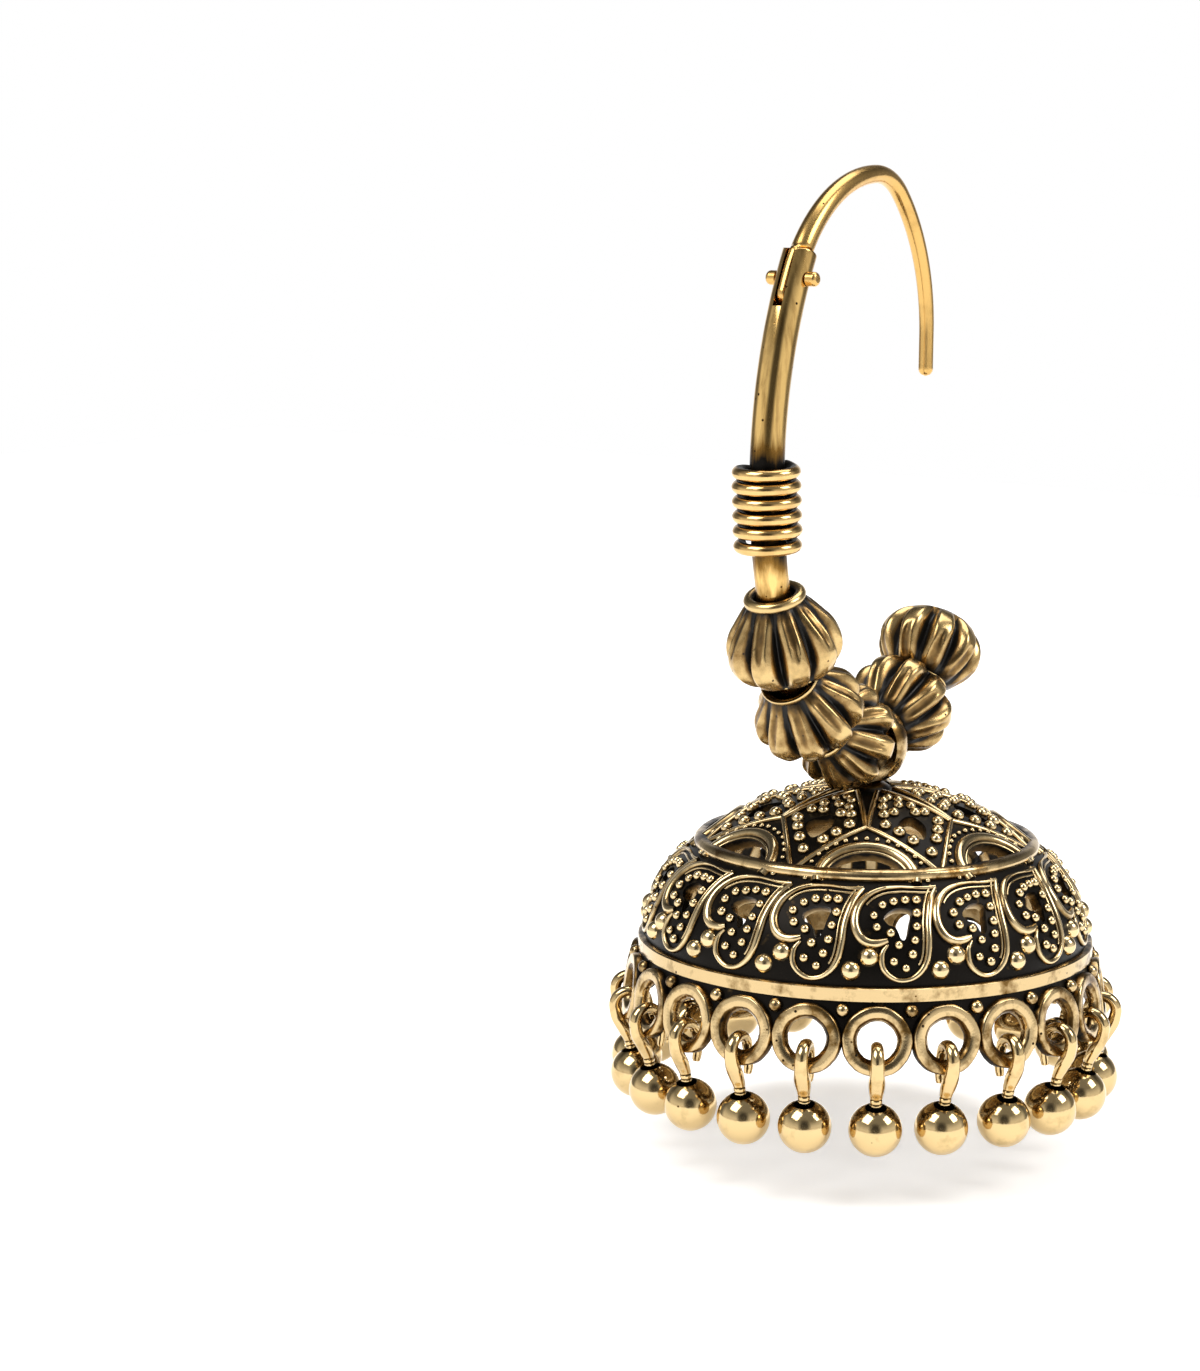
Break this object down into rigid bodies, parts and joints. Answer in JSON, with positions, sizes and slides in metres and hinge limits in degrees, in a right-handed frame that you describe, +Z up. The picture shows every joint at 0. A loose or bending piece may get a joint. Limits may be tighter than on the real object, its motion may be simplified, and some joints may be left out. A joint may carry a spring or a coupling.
{
  "type": "jhumka earring",
  "caption": "Hinged hoop jhumka earring in antiqued brass: hooked ear wire, melon beads and wire coil on a rod, and a pierced bell dome fringed with ball drops.",
  "frame": {"origin": "underside of the ear wire's crown, where it rests in the ear", "axes": "+Z up, the earring hangs along -Z; the hoop lies in the XZ plane with its hinge on the -X side and the wire's straight leg on the +X side"},
  "size_m": [0.0319, 0.0316, 0.0573],
  "materials": {
    "gilt_brass_wire": "polished",
    "aged_brass": "worn",
    "worn_brass_coil": "worn",
    "antiqued_brass": "antiqued",
    "polished_brass": "polished"
  },
  "bodies": {
    "ear_wire": {"ear_wire": "gilt_brass_wire"},
    "hoop": {"hoop_rod": "aged_brass", "hinge_pin": "gilt_brass_wire", "wire_coil": "worn_brass_coil", "bead_1": "antiqued_brass", "bead_2": "antiqued_brass", "bead_3": "antiqued_brass", "bead_4": "antiqued_brass", "bead_5": "antiqued_brass"},
    "dome": {"dome": "antiqued_brass", "drop_01": "polished_brass", "drop_02": "polished_brass", "drop_03": "polished_brass", "drop_04": "polished_brass", "drop_05": "polished_brass", "drop_06": "polished_brass", "drop_07": "polished_brass", "drop_08": "polished_brass", "drop_09": "polished_brass", "drop_10": "polished_brass", "drop_11": "polished_brass", "drop_12": "polished_brass", "drop_13": "polished_brass", "drop_14": "polished_brass", "drop_15": "polished_brass", "drop_16": "polished_brass", "drop_17": "polished_brass", "drop_18": "polished_brass", "drop_19": "polished_brass", "drop_20": "polished_brass", "drop_21": "polished_brass", "drop_22": "polished_brass"}
  },
  "joints": [
    {"name": "wire_hinge", "type": "hinge", "parent": "ear_wire", "child": "hoop", "pos_m": [-0.00915, 0, -0.00531], "axis": [0, 1, 0], "range_deg": [-15, 60]},
    {"name": "dome_swing", "type": "hinge", "parent": "hoop", "child": "dome", "pos_m": [0.00035, 0, -0.03355], "axis": [0.9968, 0, 0.0798], "range_deg": [-35, 35]}
  ]
}
